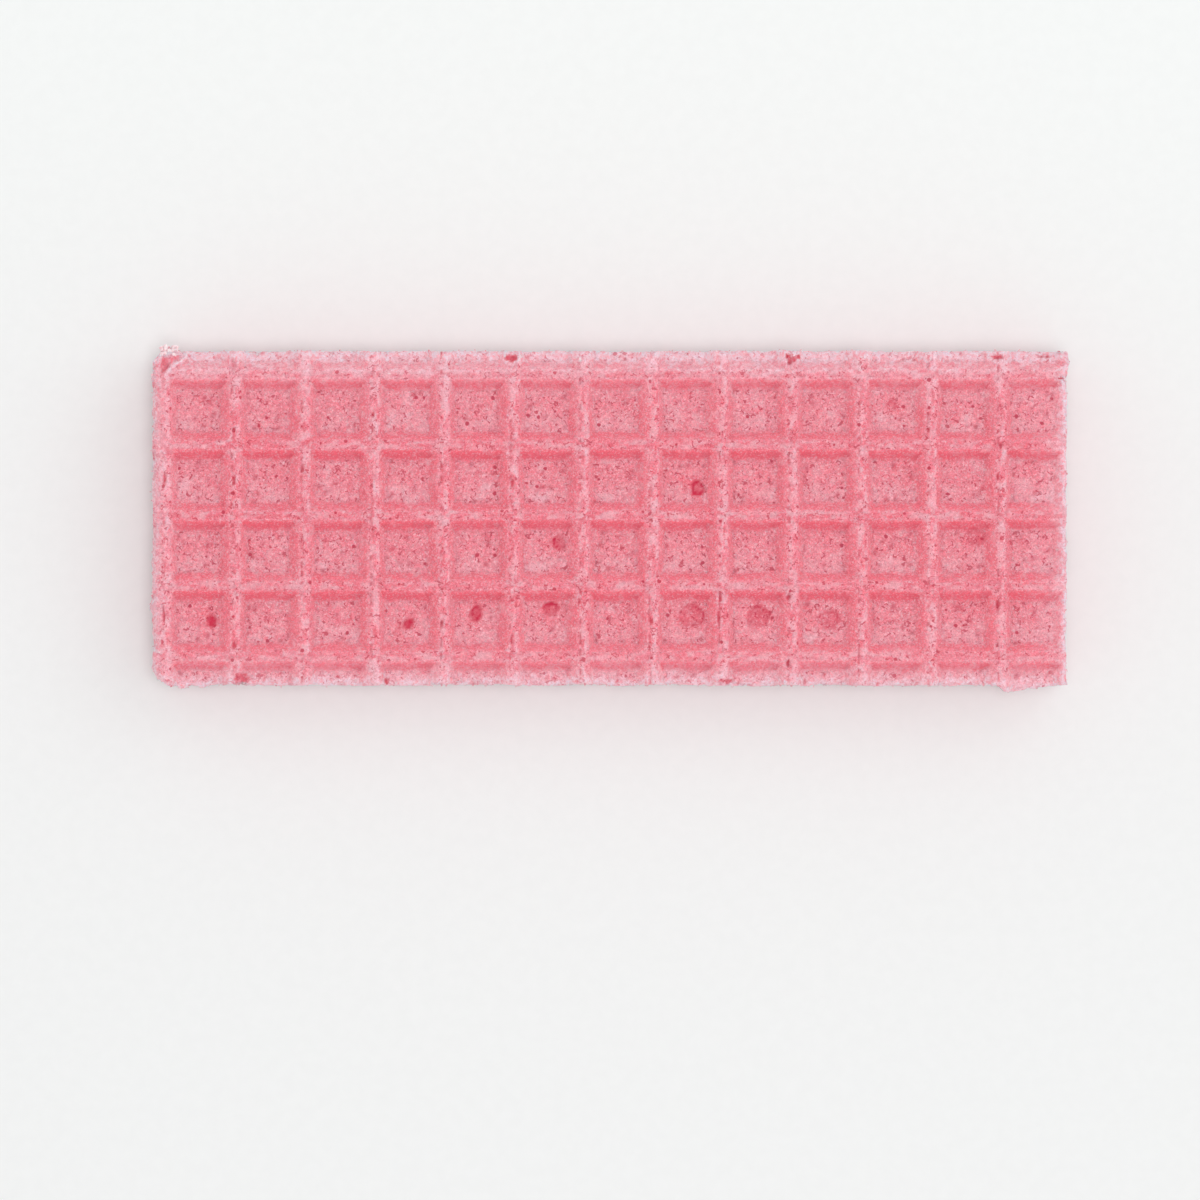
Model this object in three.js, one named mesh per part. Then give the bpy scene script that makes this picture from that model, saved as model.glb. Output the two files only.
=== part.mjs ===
// A pink sugar wafer: three crisp baked sheets held together by two layers of cream. The two outer
// sheets carry the square pockets of the waffle iron on their outer faces. The stack was cut from a
// larger book of wafer, so the ridges meet its edges wherever the saw happened to pass.
//
// Millimetres. +X runs along the wafer, +Y across it towards its back edge and +Z up. The wafer lies
// on z = 0, and the origin is the middle of the box round it, on the surface that it lies on. While
// a layer is being made, x and y are measured from the cut wafer's left and front edges.
import * as THREE from "three";

// Size of the cut wafer and of its layers.
const LENGTH = 70.0;
const WIDTH = 25.6;
const OUTER_SHEET = 2.6;
const MIDDLE_SHEET = 2.2;
const CREAM = 0.9;

// The waffle pattern: ridges with sloping walls round flat square pockets.
const PITCH_X = 5.325;
const PITCH_Y = 5.39;
const POCKET_DEPTH = 0.9;
const CROSS_RIDGE = { crest: 0.96, wallBefore: 0.6, wallAfter: 0.4 }; // runs along Y
const LONG_RIDGE = { crest: 0.86, wallBefore: 0.6, wallAfter: 0.64 }; // runs along X
const TOP_FIRST_RIDGE = { x: 1.01, y: 2.23 };
const UNDER_FIRST_RIDGE = { x: 2.4, y: 1.94 };
const SLIVER = 0.3; // a pattern line nearer to the cut edge than this is left out

// How uneven the bake is: the pocket floors swell, the crests wear and the ridges wander.
const FLOOR_SWELL = 0.07;
const CREST_WEAR = 0.06;
const RIDGE_DRIFT = 0.05;

// How uneven the cut is. The soft cream sits back from it a little.
const WAFER_CUT = { inset: 0.05, waver: 0.06 };
const CREAM_CUT = { inset: 0.14, waver: 0.09 };
const CUT_STEP = 2.4; // spacing of the points along the edge of a layer with no pattern
const WAVES_PER_MM = [0.9, 2.3, 5.1];
const LEVEL = { base: 0, waist: 1, rim: 2 };
const WAIST_HEIGHT = 0.5; // of an outer sheet, above its plain face

// Damage at the cut edges of the top sheet.
const BROKEN_RIDGE_ENDS = [
  { side: "back", ridge: 5 },
  { side: "back", ridge: 9 },
  { side: "back", ridge: 12 },
  { side: "front", ridge: 1 },
  { side: "front", ridge: 8 },
];
const BROKEN_END_DEPTH = 1.1;
const ROUNDED_CORNER = 0.25; // at the front left corner

// The chip at the back left corner takes what lies beyond a slanting line across that corner.
const CHIP = { fromLeft: 0.3, reach: 2.75, slant: 1.14, depth: 1.6 };

// Places where a layer stands out past its cut: how far, and over what length of the edge.
const TOP_BUMPS = [
  { side: "front", at: 65.39, before: 0.8, after: 4.5, reach: 0.45 },
  { side: "front", at: 1.89, before: 0.9, after: 0.9, reach: 0.25 },
  { side: "left", at: 6.59, before: 1.0, after: 1.0, reach: 0.15 },
  { side: "right", at: 24.86, before: 0.9, after: 0.6, reach: 0.2 },
];
const CREAM_BUMPS = [{ side: "back", at: 2.4, before: 2.0, after: 2.0, reach: 0.5 }];
const NO_BUMPS = [];

// Burst bubbles in the pocket floors: the pocket, counted from the front left, the place from the
// pocket's middle, the radius and the depth.
const BUBBLES = [
  { column: 0, row: 0, x: 0.88, y: 0.05, radius: 0.4, depth: 0.5 },
  { column: 3, row: 0, x: -0.03, y: -0.15, radius: 0.38, depth: 0.5 },
  { column: 4, row: 0, x: -0.16, y: 0.54, radius: 0.5, depth: 0.35 },
  { column: 5, row: 0, x: 0.25, y: 0.92, radius: 0.57, depth: 0.3 },
  { column: 7, row: 0, x: 0.31, y: 0.39, radius: 1.0, depth: 0.3 },
  { column: 8, row: 0, x: 0.11, y: 0.31, radius: 0.88, depth: 0.3 },
  { column: 9, row: 0, x: 0.17, y: 0.05, radius: 0.75, depth: 0.2 },
  { column: 5, row: 1, x: 0.87, y: 0.65, radius: 0.5, depth: 0.3 },
  { column: 7, row: 2, x: 0.84, y: -0.61, radius: 0.48, depth: 0.4 },
  { column: 10, row: 3, x: -0.3, y: 0.27, radius: 0.4, depth: 0.2 },
];
const BUBBLE_SIDES = 10;
const BUBBLE_BED = 0.6; // share of the radius that is the bubble's flat bed
const BUBBLE_UNEVENNESS = 0.12;
const NO_BUBBLES = [];

// Random numbers from 0 to 1 that are the same on every run.
function seededRandom(seed) {
  const modulus = 2 ** 32;
  const multiplier = 1664525;
  const increment = 1013904223;
  let state = seed;
  return () => {
    state = (state * multiplier + increment) % modulus;
    return state / modulus;
  };
}

// A slow irregular wave between -1 and 1 along an edge.
function waver(along, seed) {
  const waves = WAVES_PER_MM.map((rate, index) => Math.sin(rate * along + seed * (index + 2.1)));
  return waves.reduce((sum, wave) => sum + wave, 0) / waves.length;
}

// How far a layer's cut stands out at one place on one side of the wafer.
function cutReach(cut, side, along, level) {
  const lifts = cut.bumps.map((bump) => {
    const distance = along - bump.at;
    const share = distance < 0 ? 1 + distance / bump.before : 1 - distance / bump.after;
    return bump.side === side ? bump.reach * Math.max(0, share) : 0;
  });
  const lift = Math.max(0, ...lifts);
  const sideSeed = ["left", "right", "front", "back"].indexOf(side) + 1;
  const rough = cut.waver * waver(along, sideSeed + 7 * level + cut.seed) - cut.inset;
  return lift > 0 ? lift : rough;
}

// Where a point of the nominal outline really lies, at one level of a layer.
function cutPoint(cut, x, y, level) {
  const place = { x, y };
  if (x === 0) {
    place.x -= cutReach(cut, "left", y, level);
  }
  if (x === LENGTH) {
    place.x += cutReach(cut, "right", y, level);
  }
  if (y === 0) {
    place.y -= cutReach(cut, "front", x, level);
  }
  if (y === WIDTH) {
    place.y += cutReach(cut, "back", x, level);
  }
  if (x === 0 && y === 0) {
    place.x += ROUNDED_CORNER;
    place.y += ROUNDED_CORNER;
  }
  return place;
}

// Collects the points and triangles of one closed solid. A solid is made with its plain face at
// z = 0 and its patterned face up, and is turned over where the pattern faces down.
class Shell {
  constructor(facesUp) {
    this.facesUp = facesUp;
    this.points = [];
    this.triangles = [];
  }

  point(x, y, z) {
    this.points.push(x, y, this.facesUp ? z : -z);
    return this.points.length / 3 - 1;
  }

  triangle(a, b, c) {
    this.triangles.push(...(this.facesUp ? [a, b, c] : [a, c, b]));
  }

  plan(index) {
    return new THREE.Vector2(this.points[3 * index], this.points[3 * index + 1]);
  }

  // Fills a ring of points, less the rings inside it, with triangles that face up or down.
  fill(ring, holes, up) {
    const indices = [...ring, ...holes.flat()];
    const outline = ring.map((index) => this.plan(index));
    const gaps = holes.map((hole) => hole.map((index) => this.plan(index)));
    for (const corners of THREE.ShapeUtils.triangulateShape(outline, gaps)) {
      const [a, b, c] = corners.map((corner) => indices[corner]);
      const turnsLeft = THREE.ShapeUtils.area([this.plan(a), this.plan(b), this.plan(c)]) > 0;
      if (turnsLeft === up) {
        this.triangle(a, b, c);
      } else {
        this.triangle(a, c, b);
      }
    }
  }

  // Joins two rings that both run anticlockwise seen from above, with the face turned outward
  // where the second ring is the higher one.
  band(first, second) {
    first.forEach((corner, index) => {
      const next = (index + 1) % first.length;
      this.triangle(corner, first[next], second[next]);
      this.triangle(corner, second[next], second[index]);
    });
  }

  geometry() {
    const geometry = new THREE.BufferGeometry();
    geometry.setAttribute("position", new THREE.Float32BufferAttribute(this.points, 3));
    geometry.setIndex(this.triangles);
    geometry.computeVertexNormals();
    return geometry;
  }
}

// How high the pattern stands at one place along an axis: 1 on a crest, 0 on a pocket floor.
function riseAt(place, centres, ridge) {
  const rises = centres.map((centre) => {
    const pastCrest = Math.abs(place - centre) - ridge.crest / 2;
    return 1 - pastCrest / (place < centre ? ridge.wallBefore : ridge.wallAfter);
  });
  return THREE.MathUtils.clamp(Math.max(...rises), 0, 1);
}

// The pattern's lines along one axis, from cut edge to cut edge: four to a ridge.
function patternLines(span, first, pitch, ridge) {
  const centres = [];
  for (let centre = first; centre < span + ridge.crest; centre += pitch) {
    centres.push(centre);
  }
  const places = centres.flatMap((centre) => [
    centre - ridge.crest / 2 - ridge.wallBefore,
    centre - ridge.crest / 2,
    centre + ridge.crest / 2,
    centre + ridge.crest / 2 + ridge.wallAfter,
  ]);
  const inside = places.filter((place) => place > SLIVER && place < span - SLIVER);
  return [0, ...inside, span].map((at) => ({
    at,
    rise: riseAt(at, centres, ridge),
  }));
}

// The outermost points of a lattice, anticlockwise from the front left corner.
function latticeRim(columns, rows, pick) {
  const alongX = Array.from({ length: columns - 1 }, (_, index) => index);
  const alongY = Array.from({ length: rows - 1 }, (_, index) => index);
  return [
    ...alongX.map((i) => pick(i, 0)),
    ...alongY.map((j) => pick(columns - 1, j)),
    ...alongX.map((i) => pick(columns - 1 - i, rows - 1)),
    ...alongY.map((j) => pick(0, rows - 1 - j)),
  ];
}

function inChip(x, y) {
  const fromBack = WIDTH - y;
  return x > CHIP.fromLeft && x + CHIP.slant * fromBack < CHIP.reach;
}

function atBrokenRidgeEnd(x, y, firstRidge) {
  return BROKEN_RIDGE_ENDS.some(({ side, ridge }) => {
    const centre = firstRidge.x + ridge * PITCH_X;
    const onSide = side === "back" ? y === WIDTH : y === 0;
    return onSide && Math.abs(x - centre) < CROSS_RIDGE.crest;
  });
}

// How far a point of the pattern lies below the sheet's highest level.
function patternDepth(sheet, x, y, rise) {
  const wear = sheet.damaged ? CREST_WEAR * sheet.random() : 0;
  const floor = POCKET_DEPTH - FLOOR_SWELL * sheet.random();
  if (sheet.damaged && inChip(x, y)) {
    return CHIP.depth;
  }
  if (sheet.damaged && atBrokenRidgeEnd(x, y, sheet.firstRidge)) {
    return BROKEN_END_DEPTH;
  }
  return rise * wear + (1 - rise) * floor;
}

// The patterned face's points: one for each crossing of the pattern's lines.
function patternPoints(shell, sheet) {
  const { xLines, yLines } = sheet;
  const drift = () => RIDGE_DRIFT * (2 * sheet.random() - 1);
  return xLines.map((xLine, i) =>
    yLines.map((yLine, j) => {
      const inside = i > 0 && j > 0 && i < xLines.length - 1 && j < yLines.length - 1;
      const place = inside
        ? { x: xLine.at + drift(), y: yLine.at + drift() }
        : cutPoint(sheet.cut, xLine.at, yLine.at, LEVEL.rim);
      const depth = patternDepth(sheet, xLine.at, yLine.at, Math.max(xLine.rise, yLine.rise));
      return shell.point(place.x, place.y, OUTER_SHEET - depth);
    }),
  );
}

function bubbleCentre(bubble, firstRidge) {
  return {
    x: firstRidge.x + (bubble.column + 0.5) * PITCH_X + bubble.x,
    y: firstRidge.y + (bubble.row + 0.5) * PITCH_Y + bubble.y,
  };
}

function bubbleInPatch(sheet, i, j) {
  const { xLines, yLines } = sheet;
  return sheet.bubbles.find((bubble) => {
    const { x, y } = bubbleCentre(bubble, sheet.firstRidge);
    const insideX = xLines[i].at < x && x < xLines[i + 1].at;
    const insideY = yLines[j].at < y && y < yLines[j + 1].at;
    return insideX && insideY;
  });
}

// A pocket floor with one burst bubble: the floor round it, its sloping side and its bed.
function addBubble(shell, corners, bubble, centre) {
  const floor = OUTER_SHEET - POCKET_DEPTH;
  const ring = (radius, height) =>
    Array.from({ length: BUBBLE_SIDES }, (_, index) => {
      const angle = (2 * Math.PI * index) / BUBBLE_SIDES;
      const away = radius * (1 + BUBBLE_UNEVENNESS * Math.sin(3 * angle + bubble.column));
      const x = centre.x + away * Math.cos(angle);
      const y = centre.y + away * Math.sin(angle);
      return shell.point(x, y, height);
    });
  const lip = ring(bubble.radius, floor);
  const bed = ring(bubble.radius * BUBBLE_BED, floor - bubble.depth);
  shell.fill(corners, [lip], true);
  shell.band(lip, bed);
  shell.fill(bed, [], true);
}

// One patch between the pattern's lines. In a pocket's corner the two walls meet in a fold, from
// the floor up to the crossing of the crests, so the patch is split along that fold.
function addPatch(shell, sheet, corners, i, j) {
  const { xLines, yLines } = sheet;
  const [a, b, c, d] = corners;
  const climbMain = xLines[i + 1].rise + yLines[j + 1].rise - xLines[i].rise - yLines[j].rise;
  const climbOther = xLines[i].rise + yLines[j + 1].rise - xLines[i + 1].rise - yLines[j].rise;
  if (Math.abs(climbMain) >= Math.abs(climbOther)) {
    shell.triangle(a, b, c);
    shell.triangle(a, c, d);
  } else {
    shell.triangle(a, b, d);
    shell.triangle(b, c, d);
  }
}

// The whole patterned face. Returns its rim.
function addPattern(shell, sheet) {
  const lattice = patternPoints(shell, sheet);
  for (let i = 0; i < lattice.length - 1; i += 1) {
    for (let j = 0; j < lattice[i].length - 1; j += 1) {
      const corners = [lattice[i][j], lattice[i + 1][j], lattice[i + 1][j + 1], lattice[i][j + 1]];
      const bubble = bubbleInPatch(sheet, i, j);
      if (bubble) {
        addBubble(shell, corners, bubble, bubbleCentre(bubble, sheet.firstRidge));
      } else {
        addPatch(shell, sheet, corners, i, j);
      }
    }
  }
  return latticeRim(lattice.length, lattice[0].length, (i, j) => lattice[i][j]);
}

// An outer sheet, with the waffle pattern on one face.
function patternedSheet({ facesUp, firstRidge, cut, damaged, bubbles, seed }) {
  const shell = new Shell(facesUp);
  const xLines = patternLines(LENGTH, firstRidge.x, PITCH_X, CROSS_RIDGE);
  const yLines = patternLines(WIDTH, firstRidge.y, PITCH_Y, LONG_RIDGE);
  const random = seededRandom(seed);
  const sheet = { xLines, yLines, firstRidge, cut, damaged, bubbles, random };
  const rim = addPattern(shell, sheet);
  const cutRing = (level, height) =>
    latticeRim(xLines.length, yLines.length, (i, j) => {
      const place = cutPoint(cut, xLines[i].at, yLines[j].at, level);
      return shell.point(place.x, place.y, height);
    });
  const base = cutRing(LEVEL.base, 0);
  const waist = cutRing(LEVEL.waist, WAIST_HEIGHT);
  shell.fill(base, [], false);
  shell.band(base, waist);
  shell.band(waist, rim);
  return shell.geometry();
}

// A layer inside the stack: flat above and below, with an uneven cut side.
function plainLayer(thickness, cut) {
  const shell = new Shell(true);
  const columns = Math.round(LENGTH / CUT_STEP);
  const rows = Math.round(WIDTH / CUT_STEP);
  const cutRing = (level, height) =>
    latticeRim(columns + 1, rows + 1, (i, j) => {
      const x = i === columns ? LENGTH : (LENGTH * i) / columns;
      const y = j === rows ? WIDTH : (WIDTH * j) / rows;
      const place = cutPoint(cut, x, y, level);
      return shell.point(place.x, place.y, height);
    });
  const base = cutRing(LEVEL.base, 0);
  const waist = cutRing(LEVEL.waist, thickness / 2);
  const rim = cutRing(LEVEL.rim, thickness);
  shell.fill(base, [], false);
  shell.band(base, waist);
  shell.band(waist, rim);
  shell.fill(rim, [], true);
  return shell.geometry();
}

function bottomSheet() {
  const cut = { ...WAFER_CUT, bumps: NO_BUMPS, seed: 11 };
  return patternedSheet({
    facesUp: false,
    firstRidge: UNDER_FIRST_RIDGE,
    cut,
    damaged: false,
    bubbles: NO_BUBBLES,
    seed: 21,
  });
}

function topSheet() {
  const cut = { ...WAFER_CUT, bumps: TOP_BUMPS, seed: 15 };
  return patternedSheet({
    facesUp: true,
    firstRidge: TOP_FIRST_RIDGE,
    cut,
    damaged: true,
    bubbles: BUBBLES,
    seed: 22,
  });
}

function middleSheet() {
  return plainLayer(MIDDLE_SHEET, { ...WAFER_CUT, bumps: NO_BUMPS, seed: 13 });
}

function creamLayer(seed, bumps) {
  return plainLayer(CREAM, { ...CREAM_CUT, bumps, seed });
}

function bakedWafer() {
  return new THREE.MeshStandardMaterial({ color: 0xea8d99, roughness: 0.85, metalness: 0 });
}

function sugarCream() {
  return new THREE.MeshStandardMaterial({ color: 0xf3d2d2, roughness: 0.55, metalness: 0 });
}

function layer(name, geometry, material, height) {
  const mesh = new THREE.Mesh(geometry, material);
  mesh.name = name;
  mesh.position.z = height;
  return mesh;
}

// Heights of the joints between the layers.
const OVER_BOTTOM = OUTER_SHEET;
const UNDER_MIDDLE = OVER_BOTTOM + CREAM;
const OVER_MIDDLE = UNDER_MIDDLE + MIDDLE_SHEET;
const UNDER_TOP = OVER_MIDDLE + CREAM;

const wafer = new THREE.Group();
wafer.add(
  layer("wafer_bottom", bottomSheet(), bakedWafer(), OVER_BOTTOM),
  layer("cream_lower", creamLayer(12, NO_BUMPS), sugarCream(), OVER_BOTTOM),
  layer("wafer_middle", middleSheet(), bakedWafer(), UNDER_MIDDLE),
  layer("cream_upper", creamLayer(14, CREAM_BUMPS), sugarCream(), OVER_MIDDLE),
  layer("wafer_top", topSheet(), bakedWafer(), UNDER_TOP),
);

// The cut edges are uneven, so the wafer is moved to bring the middle of its box to the origin.
const middle = new THREE.Box3().setFromObject(wafer).getCenter(new THREE.Vector3());
wafer.position.set(-middle.x, -middle.y, 0);

export default wafer;
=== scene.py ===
"""A pink sugar wafer, lying on a pale floor and seen from straight above.

Three baked sheets and two layers of cream. Each is a closed mesh of its own: the waffle pattern, the
saw-cut sides, the burst bubbles and the broken edges are geometry, and the finest pores are in the
materials. Lengths in the functions below are millimetres, and a mesh is made in metres at the end.
In a layer's own plan, u runs along the wafer from its left edge and v across it from its front edge.
"""

import math
from types import SimpleNamespace

import bpy
import bmesh
import numpy as np
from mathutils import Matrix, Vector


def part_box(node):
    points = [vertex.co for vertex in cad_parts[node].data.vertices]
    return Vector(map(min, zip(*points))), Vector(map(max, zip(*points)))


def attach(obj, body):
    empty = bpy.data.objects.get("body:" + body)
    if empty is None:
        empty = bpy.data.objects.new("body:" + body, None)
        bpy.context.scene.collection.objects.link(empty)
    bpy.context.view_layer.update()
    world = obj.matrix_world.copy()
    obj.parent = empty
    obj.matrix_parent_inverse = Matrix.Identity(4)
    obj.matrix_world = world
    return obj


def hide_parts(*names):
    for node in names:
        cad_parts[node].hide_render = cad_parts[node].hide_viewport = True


MM = 0.001

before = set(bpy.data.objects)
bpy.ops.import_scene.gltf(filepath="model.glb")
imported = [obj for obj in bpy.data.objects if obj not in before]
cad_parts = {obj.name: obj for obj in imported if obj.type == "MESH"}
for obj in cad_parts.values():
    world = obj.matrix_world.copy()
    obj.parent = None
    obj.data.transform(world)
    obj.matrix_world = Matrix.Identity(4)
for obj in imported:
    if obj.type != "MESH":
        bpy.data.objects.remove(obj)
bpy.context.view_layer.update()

# The wafer between its cuts, the place of its front left corner, and the heights of its layers.
LENGTH = 70.0
WIDTH = 25.6
middle_low, middle_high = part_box("wafer_middle")
PLAN_X = (middle_low.x + middle_high.x) / 2 / MM - LENGTH / 2
PLAN_Y = (middle_low.y + middle_high.y) / 2 / MM - WIDTH / 2
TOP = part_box("wafer_top")[1].z / MM
UNDER_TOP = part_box("wafer_top")[0].z / MM
OVER_MIDDLE = middle_high.z / MM
UNDER_MIDDLE = middle_low.z / MM
OVER_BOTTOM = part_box("wafer_bottom")[1].z / MM

# The waffle pattern.
POCKET_DEPTH = 0.9
CROSS = {
    "pitch": 5.325,
    "count": 14,
    "places": (-1.28, -1.08, -0.80, -0.45, -0.16, 0.06, 0.32, 0.45, 0.65, 0.84, 0.96),
    "heights": (0.0, 0.10, 0.46, 0.78, 0.93, 1.0, 1.0, 0.89, 0.50, 0.11, 0.0),
}
LONG = {
    "pitch": 5.39,
    "count": 5,
    "places": (-1.23, -1.05, -0.71, -0.34, -0.15, 0.18, 0.33, 0.66, 0.91, 1.07),
    "heights": (0.0, 0.12, 0.50, 0.88, 1.0, 1.0, 0.90, 0.50, 0.12, 0.0),
}
TOP_FIRST = (1.01, 2.23)
UNDER_FIRST = (2.4, 1.94)
SEAM_OFFSET = -0.19  # of the row of pores in a cross ridge, from its middle
RIDGE_REACH = 1.5
RIDGE_SAMPLES = 301
RIDGE_ROUNDING = 13  # samples of a ridge's shape that are averaged
RIDGE_WANDER = 0.06
RIDGE_UNEVENNESS = 0.12
RIDGE_BLEND = 5  # the power that joins crossing ridges smoothly

# Spacing of the mesh's lines: fine over the ridges and coarser over the pocket floors.
FINE = {"top": 0.12, "under": 0.17}
COARSE = {"top": 0.20, "under": 0.26}
RIDGE_ZONE = 1.15
ZONE_FADE = 0.4
LINE_SAMPLES = 4001
SIDE_ROW = 0.2
SHEET_STEP = 0.17
CREAM_STEP = 0.25

# How deep the small forms of a patterned face are.
DEPTHS = {
    "floor_swell": 0.05,
    "floor_grain": 0.05,
    "crest_wear": 0.04,
    "crest_swell": 0.05,
    "crest_grain": 0.06,
    "seam": 0.24,
    "flaky": 0.08,
    "rim": 0.06,
    "rim_swell": 0.10,
    "cut_edge": 0.16,
    "small_pits": 0.13,
    "pits": 0.2,
    "slits": 0.3,
    "ragged": 0.45,
    "notches": 0.45,
}

# How red and dark the slope of each side of a ridge is: the slopes' own redder skin, with painted shade
# strongest on the long ridges' front slopes and weakest on the cross ridges' right slopes.
SLOPE_AND_SHADE_SHARES = {"front": 1.05, "back": 0.62, "left": 0.46, "right": 0.30}

# The small random pits in the pocket floors.
SMALL_PITS = {"count": 900, "sizes": (0.08, 0.2), "reach": 0.5}

# Seeds of the noises. A sheet's own noises count on from the sheet's seed.
SEEDS = {
    "seam_dots": 41,
    "seam_stretches": 42,
    "seam_wander": 43,
    "spots": 55,
    "bubble_edges": 56,
    "bubble_mottle": 57,
    "frosty_mottle": 58,
    "lumps": 59,
    "dashes": 61,
    "chip": 77,
    "top": 1000,
    "under": 2000,
    "middle": 3000,
    "upper_cream": 4000,
    "lower_cream": 5000,
    "crumbs": 6000,
}

# Burst bubbles in the pockets: column and row from the front left, place from the pocket's middle, half
# width, half height, depth, how dark they are inside and at the rim, and where the rim is darkest,
# in degrees.
BUBBLES = [
    (0, 0, 0.88, 0.05, 0.36, 0.42, 0.34, 0.86, 1.00, 270),
    (3, 0, -0.03, -0.15, 0.36, 0.38, 0.36, 0.82, 1.00, 250),
    (4, 0, -0.16, 0.54, 0.50, 0.56, 0.28, 0.84, 1.00, 110),
    (5, 0, 0.25, 0.92, 0.54, 0.54, 0.24, 0.60, 1.50, 95),
    (7, 0, 0.31, 0.39, 0.98, 0.96, 0.20, 0.38, 1.00, 35),
    (8, 0, 0.11, 0.31, 0.84, 0.90, 0.20, 0.41, 0.95, 60),
    (9, 0, 0.17, 0.05, 0.80, 0.76, 0.17, 0.30, 0.80, 40),
    (11, 0, -0.50, 0.85, 0.30, 0.28, 0.14, 0.06, 0.70, 90),
    (5, 1, 0.87, 0.65, 0.52, 0.50, 0.22, 0.52, 1.05, 200),
    (11, 1, 0.80, 1.04, 0.80, 0.62, 0.12, 0.38, 0.50, 60),
    (7, 2, 0.84, -0.61, 0.50, 0.50, 0.32, 0.58, 2.40, 200),
    (10, 3, -0.30, 0.27, 0.42, 0.40, 0.10, 0.12, 0.80, 60),
]

# Single pits in the pocket floors and slits in the ridges: u, v, half width and half height.
PITS = [
    (4.30, 21.68, 0.24, 0.26),
    (5.15, 20.55, 0.12, 0.12),
    (15.30, 21.26, 0.09, 0.18),
    (19.69, 16.19, 0.11, 0.11),
    (13.24, 11.14, 0.22, 0.24),
    (4.92, 11.58, 0.20, 0.18),
    (3.59, 11.32, 0.14, 0.16),
    (13.95, 15.38, 0.24, 0.12),
    (29.88, 16.29, 0.16, 0.18),
    (30.93, 16.90, 0.12, 0.14),
    (39.90, 14.70, 0.26, 0.12),
    (40.24, 10.90, 0.24, 0.10),
    (34.20, 10.67, 0.10, 0.12),
    (26.46, 16.90, 0.10, 0.12),
    (24.00, 11.80, 0.10, 0.12),
    (35.50, 5.85, 0.12, 0.15),
    (35.85, 5.41, 0.10, 0.15),
    (35.01, 4.97, 0.08, 0.26),
    (35.41, 4.05, 0.10, 0.10),
    (8.70, 5.15, 0.10, 0.30),
    (57.47, 4.39, 0.22, 0.22),
    (62.20, 4.55, 0.20, 0.18),
    (65.73, 10.95, 0.20, 0.22),
    (47.40, 15.40, 0.20, 0.20),
    (56.20, 14.20, 0.20, 0.20),
    (63.60, 15.05, 0.22, 0.22),
]
SLITS = [
    (0.96, 5.47, 0.11, 0.76),
    (1.00, 15.75, 0.12, 0.50),
    (6.31, 3.10, 0.20, 0.34),
    (6.28, 15.65, 0.12, 0.40),
    (6.28, 19.54, 0.15, 0.24),
    (16.90, 20.70, 0.17, 0.27),
    (16.90, 19.54, 0.14, 0.27),
    (11.55, 16.54, 0.12, 0.30),
    (22.17, 16.89, 0.12, 0.35),
    (22.21, 4.78, 0.17, 0.23),
    (27.53, 6.55, 0.15, 0.19),
    (27.49, 3.40, 0.11, 0.30),
    (27.56, 15.41, 0.13, 0.28),
    (32.79, 7.15, 0.15, 0.23),
    (32.69, 6.46, 0.12, 0.30),
    (38.19, 4.89, 0.17, 0.27),
    (43.47, 6.77, 0.15, 0.46),
    (43.39, 5.24, 0.17, 0.61),
    (48.70, 6.71, 0.17, 0.23),
    (48.67, 1.72, 0.15, 0.30),
    (59.37, 19.54, 0.14, 0.30),
    (64.72, 6.08, 0.15, 0.46),
    (64.72, 15.94, 0.14, 0.30),
    (64.95, 18.39, 0.14, 0.25),
]

# Pale frosty patches on the pocket floors and the ridges: u, v, half width and half height.
FROSTY = [
    (8.45, 14.95, 1.00, 0.50),
    (18.85, 14.95, 1.00, 0.60),
    (25.65, 15.20, 1.15, 0.55),
    (66.70, 15.30, 0.90, 0.70),
    (38.30, 15.20, 0.32, 1.00),
    (43.60, 15.20, 0.32, 1.10),
    (17.10, 15.70, 0.35, 0.90),
]


def lattice_noise(x, y, cell, seed):
    """Smooth random values from -1 to 1 that change over about one cell."""
    side = 256
    table = np.random.default_rng(seed).uniform(-1, 1, (side, side))
    gx, gy = np.asarray(x) / cell, np.asarray(y) / cell
    ix, iy = np.floor(gx).astype(int), np.floor(gy).astype(int)
    fx, fy = gx - ix, gy - iy
    fx, fy = fx * fx * (3 - 2 * fx), fy * fy * (3 - 2 * fy)
    near, far = ix % side, (ix + 1) % side
    low, high = iy % side, (iy + 1) % side
    front = table[near, low] * (1 - fx) + table[far, low] * fx
    back = table[near, high] * (1 - fx) + table[far, high] * fx
    return front * (1 - fy) + back * fy


def rough(x, y, cell, seed, octaves=3):
    """Lattice noise with finer and weaker noise on top."""
    total, weight, size = 0, 0, 1.0
    for octave in range(octaves):
        total = total + size * lattice_noise(x, y, cell / 2**octave, seed + 101 * octave)
        weight += size
        size *= 0.5
    return total / weight


def ease(t):
    """A smooth step from 0 to 1."""
    t = np.clip(t, 0, 1)
    return t * t * (3 - 2 * t)


def bell(distance, width):
    """1 in the middle, falling smoothly to nothing within about two widths on both sides."""
    return np.exp(-((distance / width) ** 2))


def graded_lines(span, middles, fine, coarse):
    """Line places from 0 to span, closer together near the ridges' middles."""
    places = np.linspace(0, span, LINE_SAMPLES)
    away = np.min([np.abs(places - middle) for middle in middles], axis=0)
    spacing = fine + (coarse - fine) * ease((away - RIDGE_ZONE) / ZONE_FADE)
    count = np.concatenate([[0], np.cumsum(np.diff(places) / spacing[1:])])
    total = math.ceil(count[-1])
    return np.interp(np.linspace(0, count[-1], total + 1), count, places)


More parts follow.
